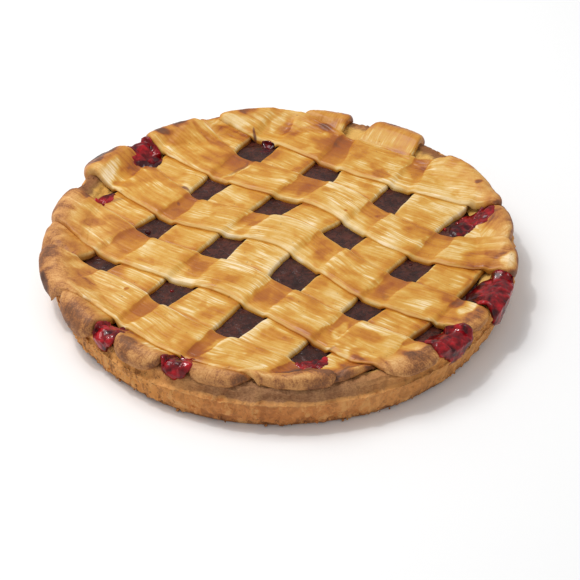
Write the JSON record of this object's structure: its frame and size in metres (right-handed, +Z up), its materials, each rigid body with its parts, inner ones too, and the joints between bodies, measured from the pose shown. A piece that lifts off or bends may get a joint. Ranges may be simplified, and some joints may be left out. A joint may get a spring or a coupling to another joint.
{
  "type": "raspberry kuchen",
  "caption": "Round short-pastry kuchen filled with raspberry jam under a woven-look lattice of wavy pastry strips, with jam run out at the rim.",
  "frame": {"origin": "centre of the flat base", "axes": "+Z up through the middle of the tart, -Y towards the viewer of the picture"},
  "size_m": [0.2788, 0.2725, 0.0347],
  "materials": {
    "shell_crust": "matte baked short pastry, brown and crumbly",
    "raspberry_jam": "dark glossy raspberry jam",
    "lattice_crust": "egg-washed pastry, cream to amber, with brush streaks"
  },
  "bodies": {
    "root": {"shell": "shell_crust", "filling": "raspberry_jam", "lower_strip_1": "lattice_crust", "lower_strip_2": "lattice_crust", "lower_strip_3": "lattice_crust", "lower_strip_4": "lattice_crust", "lower_strip_5": "lattice_crust", "upper_strip_1": "lattice_crust", "upper_strip_2": "lattice_crust", "upper_strip_3": "lattice_crust", "upper_strip_4": "lattice_crust", "upper_strip_5": "lattice_crust"}
  },
  "joints": []
}
